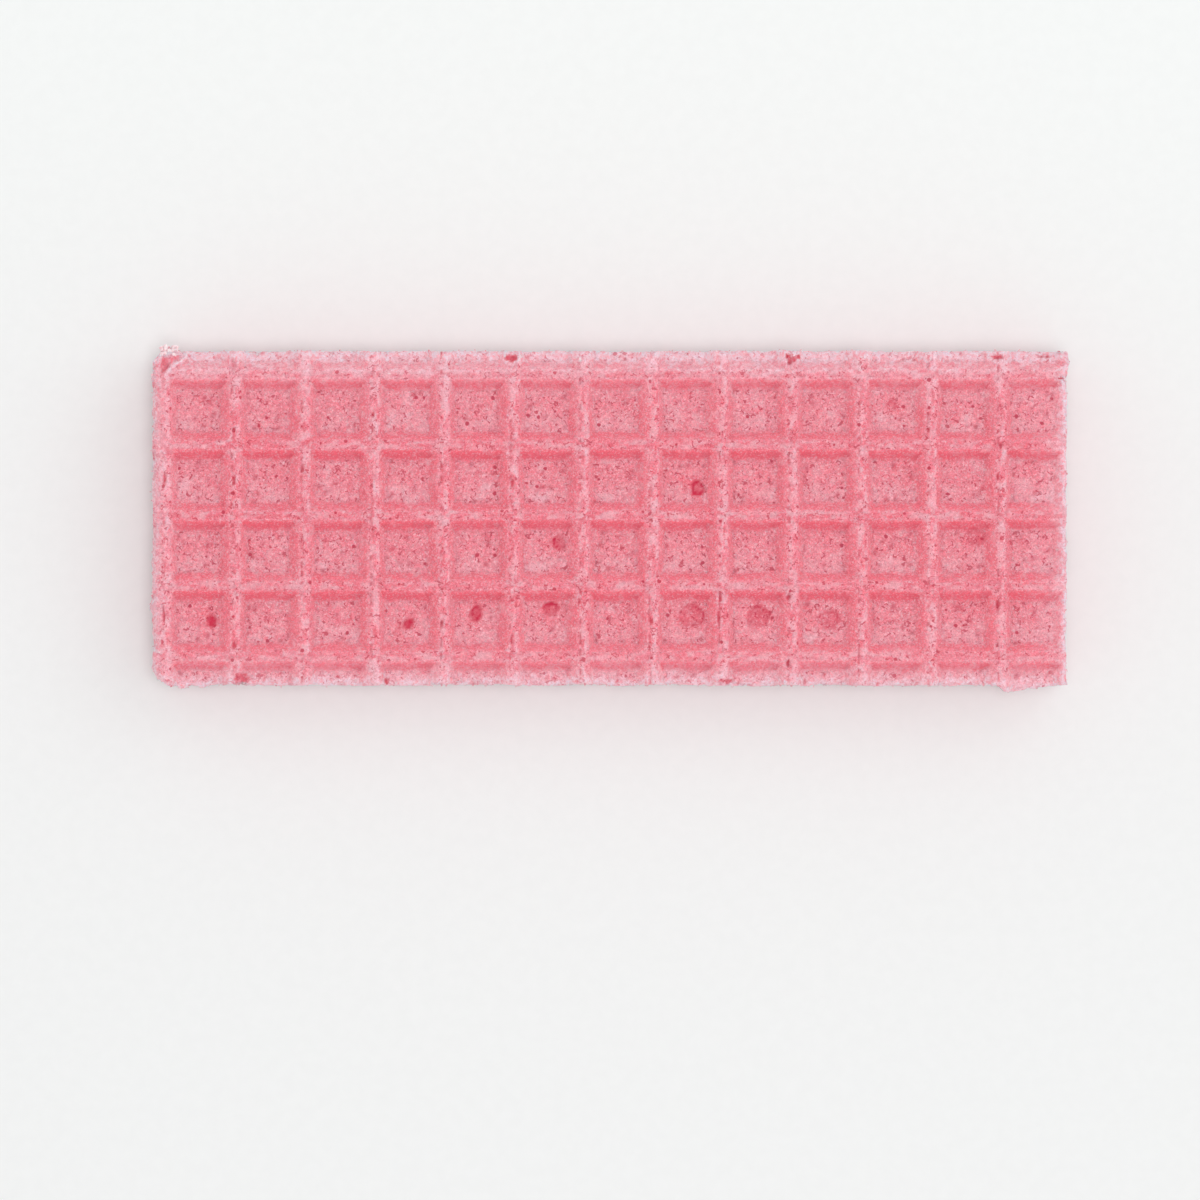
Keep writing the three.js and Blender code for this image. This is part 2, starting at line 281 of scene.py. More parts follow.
def ridges(across, along, first, kind, seed):
    """How high the ridges stand, 0 to 1, the distance from the nearest one's middle, and its number."""
    places = np.linspace(-RIDGE_REACH, RIDGE_REACH, RIDGE_SAMPLES)
    heights = np.interp(places, kind["places"], kind["heights"])
    heights = np.pad(heights, RIDGE_ROUNDING // 2, "edge")
    heights = np.convolve(heights, np.full(RIDGE_ROUNDING, 1 / RIDGE_ROUNDING), "valid")
    rise = np.zeros_like(across)
    offset = np.full_like(across, 1e3)
    nearest = np.zeros_like(across)
    for number in range(kind["count"]):
        lane = 40.0 * number
        middle = first + number * kind["pitch"] + RIDGE_WANDER * rough(along, lane, 1.6, seed)
        stretch = 1 + RIDGE_UNEVENNESS * rough(along, lane + 9, 0.8, seed + 1)
        distance = (across - middle) / stretch
        rise = np.maximum(rise, np.interp(distance, places, heights))
        closer = np.abs(distance) < np.abs(offset)
        offset = np.where(closer, distance, offset)
        nearest = np.where(closer, number, nearest)
    return rise, offset, nearest


def spots(u, v, places, soft=0.45):
    """Soft oval spots, 1 in the middle and 0 outside, at a list of places with half widths and heights."""
    shade = np.zeros_like(u)
    for x, y, half_width, half_height in places:
        near = (np.abs(u - x) < 2 * half_width) & (np.abs(v - y) < 2 * half_height)
        du, dv = (u[near] - x) / half_width, (v[near] - y) / half_height
        uneven = 0.3 * rough(u[near], v[near], 0.3, SEEDS["spots"])
        shade[near] = np.maximum(shade[near], ease((1.1 - np.hypot(du, dv) + uneven) / soft))
    return shade


def smooth_bump(along, at, before, after, reach):
    """A rise to reach at one place of an edge that falls to nothing on both sides."""
    distance = along - at
    return reach * ease(1 - np.where(distance < 0, -distance / before, distance / after))


def edge_reach(side, along, cut):
    """How far a layer's cut stands out at one place of one side."""
    seed = cut["seed"] + 13 * ["left", "right", "front", "back"].index(side)
    grain = 0.55 * rough(along, 0.0, 1.5, seed) + 0.45 * rough(along, 0.0, 0.45, seed + 5)
    reach = cut["rough"] * grain - cut["inset"]
    for bump_side, at, before, after, far in cut["bumps"]:
        if bump_side == side:
            reach = reach + smooth_bump(along, at, before, after, far)
    return reach


# The cuts of the layers. A bump stands out, or sits back if its reach is below zero. It has its side, its
# place along that side, how far it runs before and after that place, and its reach.
CORNER = [("back", 0.0, 0.1, 0.75, -0.75), ("front", 0.0, 0.1, 1.1, -0.35), ("left", 0.0, 0.1, 1.3, -0.35)]
TOP_BUMPS = CORNER + [
    ("back", 1.45, 0.5, 0.9, 0.36),
    ("front", 65.39, 0.7, 4.5, 0.5),
    ("front", 2.3, 0.7, 0.7, 0.28),
    ("front", 3.9, 0.5, 0.6, 0.16),
    ("left", 6.0, 0.7, 0.7, 0.14),
    ("right", 24.7, 0.9, 0.6, 0.22),
]
CREAM_BUMPS = CORNER + [("back", 1.3, 0.5, 0.9, 0.50), ("back", 2.3, 0.5, 0.6, 0.25)]

TOP_CUT = {"seed": 300, "rough": 0.17, "inset": 0.03, "bumps": TOP_BUMPS}
MIDDLE_CUT = {"seed": 400, "rough": 0.15, "inset": 0.05, "bumps": CORNER}
UNDER_CUT = {"seed": 500, "rough": 0.13, "inset": 0.04, "bumps": CORNER}
UPPER_CREAM_CUT = {"seed": 600, "rough": 0.18, "inset": 0.14, "bumps": CREAM_BUMPS}
LOWER_CREAM_CUT = {"seed": 700, "rough": 0.18, "inset": 0.14, "bumps": CORNER}
CUT_ZONE = 1.7  # how far in the plan's points move with the cut


def cut_shift(u, v, cut):
    """Moves the plan's outermost points onto the real cut, and the points near them part of the way."""
    left, right = ease(1 - u / CUT_ZONE), ease(1 - (LENGTH - u) / CUT_ZONE)
    front, back = ease(1 - v / CUT_ZONE), ease(1 - (WIDTH - v) / CUT_ZONE)
    moved_u = u - left * edge_reach("left", v, cut) + right * edge_reach("right", v, cut)
    moved_v = v - front * edge_reach("front", u, cut) + back * edge_reach("back", u, cut)
    return moved_u, moved_v


# The chip at the back left corner: its two sides, its broken edge and its depth.
CHIP = {"from_left": 0.70, "before_back": 25.18, "corner": 23.75, "slope": 0.83, "depth": 0.65}


def chip_shapes(u, v):
    """The chip, the pale broken edge beside it, and the ragged foam between it and the cut, each 0 to 1."""
    wander = 0.12 * rough(u, v, 0.5, SEEDS["chip"])
    beyond = v - CHIP["corner"] - CHIP["slope"] * (u - CHIP["from_left"]) + wander
    within = ease((u - CHIP["from_left"] + 1.2 * wander) / 0.45 + 0.4)
    chip = ease(beyond / 0.26) * within * ease((CHIP["before_back"] - v + 1.5 * wander) / 0.5 + 0.5)
    edge = bell(beyond + 0.24, 0.26) * ease((3.1 - u) / 0.8) * ease((u - 0.2) / 0.4)
    ragged = ease((v - CHIP["before_back"] + wander) / 0.2) * ease((2.35 - u + 2 * wander) / 0.4)
    return chip, edge, ragged


# Ridge ends broken off near the cut: u, v, half width, half height.
BROKEN_ENDS = [
    (27.49, 25.06, 0.52, 0.30),
    (48.72, 25.12, 0.28, 0.22),
    (49.00, 24.92, 0.34, 0.26),
    (49.44, 25.12, 0.24, 0.16),
    (48.84, 24.66, 0.20, 0.14),
    (64.72, 25.14, 0.55, 0.14),
    (68.10, 25.22, 0.20, 0.14),
    (68.60, 25.22, 0.16, 0.12),
    (69.55, 23.50, 0.22, 0.12),
    (6.77, 0.50, 0.62, 0.52),
    (44.00, 0.36, 0.60, 0.20),
    (17.90, 0.30, 0.22, 0.18),
]


def seam_pores(offset, along, number):
    """The broken row of pores along each cross ridge."""
    lane = 17.0 * number
    dots = ease((rough(along, lane, 0.30, SEEDS["seam_dots"], 2) - 0.12) / 0.2)
    stretches = ease((rough(along, lane + 5, 1.8, SEEDS["seam_stretches"]) + 0.5) / 0.4)
    middle = SEAM_OFFSET + 0.05 * rough(along, lane, 0.5, SEEDS["seam_wander"])
    return dots * stretches * bell(offset - middle, 0.10)


# How pale the broken foam is at each cut, and how far in it reaches. Part of the paleness is painted light:
# the back and right cuts are palest and the left one least.
RIM_PALENESS_AND_LIGHT = {"left": (0.80, 0.95), "right": (1.05, 0.95), "front": (1.03, 1.05), "back": (1.2, 1.5)}


def rim_foam_and_light(u, v):
    """How much of the pale broken foam shows, 1 at the cut and 0 inside; partly painted light."""
    away = {"left": u, "right": LENGTH - u, "front": v, "back": WIDTH - v}
    shares = [pale * np.exp(-((away[side] / reach) ** 1.15)) for side, (pale, reach) in RIM_PALENESS_AND_LIGHT.items()]
    return np.max(shares, axis=0) + back_bands(u, away["back"])


def back_bands(u, away):
    """A pale line, a pinker band and a row of pale dashes, one behind the other along the back cut."""
    line = bell(away - 0.40, 0.20)
    band = bell(away - 1.03, 0.22)
    dashes = bell(away - 1.62, 0.20) * ease((rough(u, away / 2.5, 1.1, SEEDS["dashes"]) + 0.15) / 0.3)
    return 0.10 * line - 0.15 * band + 0.32 * dashes


def pocket_pits(u, v, floor, seed):
    """Small random pits in the pocket floors."""
    random = np.random.default_rng(seed)
    count, reach = SMALL_PITS["count"], SMALL_PITS["reach"]
    pits = np.zeros_like(u)
    places = np.column_stack([random.uniform(0, LENGTH, count), random.uniform(0, WIDTH, count)])
    sizes = random.uniform(*SMALL_PITS["sizes"], count)
    for (x, y), size in zip(places, sizes):
        i0, i1 = np.searchsorted(u[:, 0], [x - reach, x + reach])
        j0, j1 = np.searchsorted(v[0], [y - reach, y + reach])
        du, dv = u[i0:i1, j0:j1] - x, v[i0:i1, j0:j1] - y
        spot = np.exp(-(du**2 + dv**2) / size**2)
        pits[i0:i1, j0:j1] = np.maximum(pits[i0:i1, j0:j1], spot)
    return pits * floor


def pattern_plan(first, face):
    """The places of a patterned face's points, closest together over the ridges."""
    cross_middles = first[0] + CROSS["pitch"] * np.arange(CROSS["count"])
    long_middles = first[1] + LONG["pitch"] * np.arange(LONG["count"])
    lines_u = graded_lines(LENGTH, cross_middles, FINE[face], COARSE[face])
    lines_v = graded_lines(WIDTH, long_middles, FINE[face], COARSE[face])
    return np.meshgrid(lines_u, lines_v, indexing="ij")


def waffle_pattern(first, face, seed):
    """What the pattern of a face is at each of its points, such as how much of a crest, a floor or a seam."""
    u, v = pattern_plan(first, face)
    cross, cross_offset, cross_number = ridges(u, v, first[0], CROSS, seed)
    long, long_offset, _ = ridges(v, u, first[1], LONG, seed + 20)
    on_long = long > cross
    rise = np.minimum(1, (cross**RIDGE_BLEND + long**RIDGE_BLEND) ** (1 / RIDGE_BLEND))
    floor = ease(1 - rise / 0.12)
    crest = ease((rise - np.where(on_long, 0.90, 0.85)) / 0.08)
    seam = seam_pores(cross_offset, v, cross_number) * ease((cross - 0.7) / 0.3)
    seam = seam * np.where(cross_number == 0, 0.4, 1.0)
    along_cross = rough(u, v / 2.2, 0.3, seed + 6, 2)
    along_long = rough(u / 2.6, v, 0.3, seed + 13, 2)
    flakes = np.where(on_long, along_long, along_cross)
    return SimpleNamespace(
        u=u,
        v=v,
        seed=seed,
        on_long=on_long,
        cross_offset=cross_offset,
        long_offset=long_offset,
        rise=rise,
        floor=floor,
        crest=crest,
        seam=seam,
        flakes=flakes,
        flaky=crest * ease((flakes - 0.22) / 0.25),
        pits=pocket_pits(u, v, floor, seed + 9),
    )


def face_depth(pattern):
    """How far each point of a face lies below the ridges' height, before any damage."""
    u, v, seed = pattern.u, pattern.v, pattern.seed
    inward = np.minimum(np.minimum(u, LENGTH - u), np.minimum(v, WIDTH - v))
    swell = DEPTHS["floor_swell"] * rough(u, v, 1.8, seed + 2)
    grain = DEPTHS["floor_grain"] * rough(u, v, 0.42, seed + 3, 2)
    wear = DEPTHS["crest_wear"] + DEPTHS["crest_swell"] * rough(u, v, 0.9, seed + 4)
    wear = wear + DEPTHS["crest_grain"] * rough(u, v, 0.3, seed + 5, 2)
    torn = DEPTHS["rim"] + DEPTHS["rim_swell"] * rough(u, v, 0.5, seed + 7)
    depth = (1 - pattern.rise) * POCKET_DEPTH
    depth += pattern.floor * (swell + grain)
    depth += pattern.crest * wear
    depth += DEPTHS["seam"] * pattern.seam
    depth += DEPTHS["flaky"] * pattern.flaky
    depth += ease(1 - inward / 0.75) * torn
    depth += DEPTHS["cut_edge"] * ease(1 - inward / 0.3) * (1 + 0.5 * rough(u, v, 0.4, seed + 8))
    depth += DEPTHS["small_pits"] * pattern.pits
    return depth


def slope_and_shade_tint(pattern):
    """How much a point is on a ridge's side, 0 to 1, and how red it is, with painted shade most on front
    sides.
    """
    slope = ease((1 - np.abs(2 * pattern.rise - 0.9)) / 0.6)
    long_share = np.where(pattern.long_offset < 0, SLOPE_AND_SHADE_SHARES["front"], SLOPE_AND_SHADE_SHARES["back"])
    cross_share = np.where(pattern.cross_offset < 0, SLOPE_AND_SHADE_SHARES["left"], SLOPE_AND_SHADE_SHARES["right"])
    return slope, slope * np.where(pattern.on_long, long_share, cross_share)


def pale_and_light_tint(pattern):
    """Where the skin is pale: worn crests and random patches, and painted light on the front and left parts
    of pocket floors.
    """
    u, v, seed = pattern.u, pattern.v, pattern.seed
    worn = ease((np.where(pattern.on_long, 0.06, 0.14) - pattern.flakes) / 0.25)
    worn = pattern.crest * worn * np.where(pattern.on_long, 0.74, 0.60)
    worn = worn * (1 + 0.6 * rough(u, v, 1.0, seed + 12))
    # Painted light: the pocket floors are paler beside the back slope of a long ridge and the right slope of
    # a cross ridge.
    beside = 0.30 * bell(pattern.long_offset - 1.6, 0.7) + 0.10 * bell(pattern.cross_offset - 1.5, 0.5)
    patches = ease((rough(u, v, 1.3, seed + 11) - 0.3) / 0.4)
    return np.maximum(worn, (beside + 0.45 * patches) * pattern.floor)


def face_tints(pattern):
    """How much of each tint a face has, before any damage."""
    u, v, seed = pattern.u, pattern.v, pattern.seed
    slope, wall = slope_and_shade_tint(pattern)
    # Painted shade: the long ridges' front slopes are darkened, most near a pocket's right end; the long
    # crests also get a darker tone of their own.
    front_slope = pattern.on_long & (pattern.long_offset < 0)
    painted_corner_shade = 1 + 0.6 * bell(pattern.cross_offset + 1.1, 0.5)
    front_shade_and_crest_tone = 0.27 * painted_corner_shade * slope * ease((0.9 - pattern.rise) / 0.5) * front_slope
    front_shade_and_crest_tone = np.maximum(front_shade_and_crest_tone, 0.2 * pattern.crest * pattern.on_long)
    return {
        "wall": wall,
        "crest": pattern.crest,
        "cut": rim_foam_and_light(u, v) * (0.95 + 0.5 * rough(u, v, 0.5, seed + 10)),
        "pit": np.max([0.75 * pattern.pits, 0.72 * pattern.seam, 0.25 * pattern.flaky, front_shade_and_crest_tone], axis=0),
        "frost": pale_and_light_tint(pattern),
        "deep": np.zeros_like(u),
    }


def waffle_face(first, cut, face, seed):
    """The patterned face of an outer sheet: plan places, depth below the ridges' height, and tints."""
    pattern = waffle_pattern(first, face, seed)
    depth = face_depth(pattern)
    tints = face_tints(pattern)
    if face == "top":
        add_bubbles(pattern.u, pattern.v, depth, tints)
        add_pits(pattern.u, pattern.v, depth, tints)
        add_broken_edges(pattern.u, pattern.v, depth, tints)
    else:
        depth = np.maximum(depth, 0)
    place_u, place_v = cut_shift(pattern.u, pattern.v, cut)
    return place_u, place_v, depth, tints


def add_bubbles(u, v, depth, tints):
    """The burst bubbles of the top sheet, each with a thin rim that is darkest on one side."""
    for column, row, x, y, half_width, half_height, deep, fill, rim, darkest in BUBBLES:
        du = u - (TOP_FIRST[0] + (column + 0.5) * CROSS["pitch"] + x)
        dv = v - (TOP_FIRST[1] + (row + 0.5) * LONG["pitch"] + y)
        angle = np.arctan2(dv, du)
        lobes = 0.08 * np.sin(2 * angle + 5 * x) + 0.06 * np.sin(3 * angle + 7 * y) + 0.03 * np.sin(5 * angle)
        away = np.hypot(du / half_width, dv / half_height) / (1 + lobes)
        away = away + 0.06 * rough(u, v, 0.35, SEEDS["bubble_edges"])
        disc = ease((1 - away) / 0.25 + 0.5)
        ring = bell(away - 0.86, 0.16 / min(half_width, half_height))
        facing = 0.5 + 0.5 * np.cos(angle - math.radians(darkest))
        ring = ring * (0.25 + 0.75 * facing)
        depth += deep * (0.6 * disc + 0.5 * ring)
        mottled = fill * disc * (1 + 0.5 * rough(u, v, 0.3, SEEDS["bubble_mottle"]))
        tints["deep"] = np.maximum(tints["deep"], np.clip(np.maximum(mottled, rim * ring), 0, 1))


def add_pits(u, v, depth, tints):
    """The single pits, the slits and the frosty patches of the top sheet."""
    pits = spots(u, v, PITS)
    slits = spots(u, v, SLITS)
    frosty = spots(u, v, FROSTY, soft=0.9)
    depth += DEPTHS["pits"] * pits + DEPTHS["slits"] * slits
    tints["deep"] = np.maximum(tints["deep"], np.maximum(0.55 * pits, 0.62 * slits))
    mottled = 0.75 * frosty * (0.8 + 0.6 * rough(u, v, 0.35, SEEDS["frosty_mottle"]))
    tints["frost"] = np.maximum(tints["frost"], mottled)


def add_broken_edges(u, v, depth, tints):
    """The chip, its pale edge, the ragged foam beside it, and the broken ridge ends of the top sheet."""
    chip, edge, ragged = chip_shapes(u, v)
    notch = spots(u, v, BROKEN_ENDS)
    lumps = rough(u, v, 0.4, SEEDS["lumps"], 2)
    depth[:] = depth * (1 - chip) + (CHIP["depth"] + 0.3 * lumps) * chip
    depth[:] = depth * (1 - ragged) + (DEPTHS["ragged"] + 0.35 * lumps) * ragged
    depth[:] = depth * (1 - 0.8 * edge) + DEPTHS["notches"] * notch
    tints["cut"] = tints["cut"] * (1 - chip) * (1 - notch)
    tints["cut"] = np.maximum(tints["cut"], np.maximum(ragged, 0.9 * edge))
    tints["deep"] = np.maximum(tints["deep"] * (1 - ragged), 0.46 * notch)
    # Painted shade in the chip's recess: tinted the dark red of the ridges' slopes, with a little deep red in
    # its lumps.
    tints["wall"] = np.maximum(tints["wall"], chip * (1 - edge))
    tints["deep"] = np.maximum(tints["deep"], chip * (1 - edge) * (0.06 + 0.3 * lumps))


def grid_rim(columns, rows):
    """The outermost points of a grid, anticlockwise from its front left corner."""
    front = [(i, 0) for i in range(columns - 1)]
    right = [(columns - 1, j) for j in range(rows - 1)]
    back = [(columns - 1 - i, rows - 1) for i in range(columns - 1)]
    left = [(0, rows - 1 - j) for j in range(rows - 1)]
    return np.array(front + right + back + left)


class Builder:
    """Gathers the points, tints and faces of one closed mesh."""

    # The slopes', pits' and frost tints also carry painted shade and light.
    TINTS = ("wall", "crest", "cut", "pit", "frost", "deep", "sawn")

    def __init__(self):
        self.points = []
        self.tints = {name: [] for name in self.TINTS}
        self.faces = []
        self.count = 0

    def add(self, points, **tints):
        """Adds points and returns their numbers."""
        total = len(points)
        self.points.append(np.asarray(points, float))
        for name in self.TINTS:
            self.tints[name].append(np.broadcast_to(tints.get(name, 0.0), (total,)).astype(float))
        first = self.count
        self.count += total
        return np.arange(first, first + total)

    def band(self, upper, lower):
        """Joins two rings, anticlockwise seen from above, with the face turned outward."""
        ahead = np.roll(np.arange(len(upper)), -1)
        self.faces += np.column_stack([upper, lower, lower[ahead], upper[ahead]]).tolist()

    def cap(self, ring, up):
        """Closes a ring with one flat face."""
        self.faces.append((ring if up else ring[::-1]).tolist())

    def grid(self, numbers):
        """Joins a grid of points with faces that look up."""
        a, b = numbers[:-1, :-1].ravel(), numbers[1:, :-1].ravel()
        c, d = numbers[1:, 1:].ravel(), numbers[:-1, 1:].ravel()
        self.faces += np.column_stack([a, b, c, d]).tolist()

    def make(self, name, upside_down=None):
        """The finished object. upside_down is the level that a sheet is turned over at."""
        points = np.concatenate(self.points)
        faces = self.faces
        if upside_down is not None:
            points[:, 2] = upside_down - points[:, 2]
            faces = [face[::-1] for face in faces]
        mesh = bpy.data.meshes.new(name)
        mesh.from_pydata((points * MM).tolist(), [], faces)
        for tint, values in self.tints.items():
            layer = mesh.attributes.new(tint, "FLOAT", "POINT")
            layer.data.foreach_set("value", np.clip(np.concatenate(values), 0, 1).astype(np.float32))
        smooth = np.array([len(face) == 4 for face in faces])
        mesh.polygons.foreach_set("use_smooth", smooth)
        mesh.update()
        piece = bpy.data.objects.new(name, mesh)
        bpy.context.scene.collection.objects.link(piece)
        return piece


def outward(ring):
    """Unit vectors in the plan that point out of a ring."""
    ahead = np.roll(ring, -1, axis=0) - np.roll(ring, 1, axis=0)
    normal = np.column_stack([ahead[:, 1], -ahead[:, 0]])
    return normal / np.maximum(1e-9, np.linalg.norm(normal, axis=1))[:, None]


def ring_length(ring):
    """The distance of each point of a ring from its first one, along the ring."""
    steps = np.linalg.norm(np.diff(ring, axis=0), axis=1)
    return np.concatenate([[0], np.cumsum(steps)])


# The rows of a layer's side.
ROUND_IN = 0.08  # how far the lowest row is drawn in
LIP = 0.6  # how far in the flat closing face of a layer begins
PALE_EDGE = 0.5  # how far below an outer sheet's upper edge the sawn look begins
SAWN_FADE = 0.4
EDGE_RELIEF = 0.5  # the share of the relief that is left at a layer's edges
INNER_FOAM = 0.3  # how much pale foam shows on an outer sheet's inner face


def crumb_relief(along, height, seed):
    """The crumbly relief of a sawn side: how far it stands out, and how deep its pores are."""
    grain = 0.06 * rough(along, height, 0.7, seed) + 0.035 * rough(along, height, 0.28, seed + 1, 2)
    pores = ease((rough(along, 0.8 * height, 0.42, seed + 2, 2) - 0.22) / 0.4)
    return grain - 0.2 * pores, pores


def cream_relief(along, height, seed):
    """The softer relief of the cream's side."""
    smear = 0.09 * rough(along, height, 1.4, seed) + 0.03 * rough(along, height, 0.4, seed + 1)
    holes = ease((rough(along, height, 0.8, seed + 2, 2) - 0.4) / 0.3)
    return smear - 0.12 * holes, holes


def add_side(builder, start, rim, levels, side, seed):
    """Rows of points down a cut side, from the ring numbered start.

    Returns the last row's numbers, and the ring's plan with its normals.
    """
    plan = rim[:, :2]
    normals = outward(plan)
    along = ring_length(plan)
    above = start
    for share in levels:
        height = rim[:, 2] * (1 - share["down"]) + share["floor"] * share["down"]
        out, pores = side["relief"](along, height, seed)
        fade = share["relief"]
        moved = plan + normals * (out * fade - share["inset"])[:, None]
        below = builder.add(
            np.column_stack([moved, height]),
            cut=side["foam"],
            pit=0.7 * pores * fade,
            sawn=share["sawn"],
        )
        builder.band(above, below)
        above = below
    return above, plan, normals


def side_levels(height, floor, pale_edge=0.0):
    """The rows of a side: how far down, how strong the relief, how far drawn in, and how sawn it looks.

    pale_edge is how many millimetres below the upper edge the sawn look begins.
    """
    rows = max(3, round(height / SIDE_ROW))
    levels = []
    for row in range(1, rows + 1):
        down = row / rows
        last = row == rows
        level = {
            "down": down,
            "floor": floor,
            "relief": EDGE_RELIEF if last else 1.0,
            "inset": ROUND_IN if last else 0.0,
            "sawn": ease((down * height - pale_edge) / SAWN_FADE + 0.5),
        }
        levels.append(level)
    return levels


def close_below(builder, ring, plan, normals, level, foam):
    """The flat underside of a layer, joined to the lowest row of its side."""
    inner = builder.add(np.column_stack([plan - LIP * normals, np.full(len(plan), level)]), cut=foam)
    builder.band(ring, inner)
    builder.cap(inner, up=False)


# The sides of the two kinds of layer: the steps along them, their relief, and how much pale foam they show.
BAKED_SIDE = {"step": SHEET_STEP, "relief": crumb_relief, "foam": 0.45}
CREAM_SIDE = {"step": CREAM_STEP, "relief": cream_relief, "foam": 0.0}


def patterned_sheet(face, first, cut, low, high):
    """An outer sheet. It is made with the pattern up, between the heights low and high."""
    seed = SEEDS[face]
    u, v, depth, tints = waffle_face(first, cut, face, seed)
    columns, rows = u.shape
    points = np.stack([u + PLAN_X, v + PLAN_Y, high - depth], axis=-1)
    builder = Builder()
    flat_tints = {key: value.ravel() for key, value in tints.items()}
    numbers = builder.add(points.reshape(-1, 3), **flat_tints).reshape(columns, rows)
    builder.grid(numbers)
    edge = grid_rim(columns, rows)
    rim_numbers = numbers[edge[:, 0], edge[:, 1]]
    rim = points[edge[:, 0], edge[:, 1]]
    levels = side_levels(high - low - POCKET_DEPTH / 2, low, PALE_EDGE)
    last, plan, normals = add_side(builder, rim_numbers, rim, levels, BAKED_SIDE, seed + 50)
    close_below(builder, last, plan, normals, low, INNER_FOAM)
    return builder


def plain_layer(name, cut, side, low, high):
    """A layer inside the stack: flat above and below, with an uneven cut side."""
    seed = SEEDS[name]
    lines_u = np.linspace(0, LENGTH, round(LENGTH / side["step"]) + 1)
    lines_v = np.linspace(0, WIDTH, round(WIDTH / side["step"]) + 1)
    edge = grid_rim(len(lines_u), len(lines_v))
    u, v = cut_shift(lines_u[edge[:, 0]], lines_v[edge[:, 1]], cut)
    plan = np.column_stack([u + PLAN_X, v + PLAN_Y])
    normals = outward(plan)
    builder = Builder()
    top = np.full(len(plan), high)
    inner = builder.add(np.column_stack([plan - LIP * normals, top]), cut=side["foam"])
    out, _ = side["relief"](ring_length(plan), top, seed)
    rim = np.column_stack([plan + normals * (EDGE_RELIEF * out - ROUND_IN)[:, None], top])
    rim_numbers = builder.add(rim, cut=side["foam"])
    builder.cap(inner, up=True)
    builder.band(inner, rim_numbers)
    start = np.column_stack([plan, top])
    levels = side_levels(high - low, low)
    last, plan, normals = add_side(builder, rim_numbers, start, levels, side, seed)
    close_below(builder, last, plan, normals, low, side["foam"])
    return builder


# Colours, linear.
FLOOR_PINK = (0.897, 0.292, 0.353, 1)
DUSKY_PINK = (0.895, 0.195, 0.255, 1)
# Redder skin of the slopes, which also carries painted shade on the slopes and in the chip.
SLOPE_AND_SHADE_PINK = (0.97, 0.180, 0.244, 1)
CREST_PINK = (0.935, 0.284, 0.354, 1)
CUT_PINK = (0.995, 0.655, 0.730, 1)
# Pale frost, which also carries painted light on the pocket floors.
FROST_AND_LIGHT_PINK = (0.93, 0.580, 0.645, 1)
# Dark pores, which also carry painted shade on the long ridges' front slopes.
PORE_AND_SHADE_RED = (0.61, 0.070, 0.116, 1)
# Deep red of bubbles, pits and broken ends, and a little painted shade in the chip.
DEEP_RED_AND_SHADE = (0.66, 0.022, 0.070, 1)
SAWN_PINK = (0.78, 0.420, 0.465, 1)
TUFT_PINK = (0.99, 0.880, 0.900, 1)
CREAM_PINK = (0.90, 0.590, 0.600, 1)
CREAM_PALE = (0.92, 0.670, 0.670, 1)
CREAM_GRAIN = (0.80, 0.460, 0.480, 1)
CREAM_HOLE = (0.78, 0.420, 0.440, 1)
TABLE_WHITE = (0.885, 0.893, 0.890, 1)
# The floor at the back is lighter: painted light.
TABLE_LIT_BACK = (0.915, 0.935, 0.925, 1)

# How fine the textures of the wafer are, for each millimetre.
PER_MM = {
    "mottle": 0.45,
    "patches": 1.5,
    "pores": 1.5,
    "foam": 2.8,
    "pinholes": 3.0,
    "grain": 4.2,
    "glints": 7.0,
    "sugar": 11.0,
}


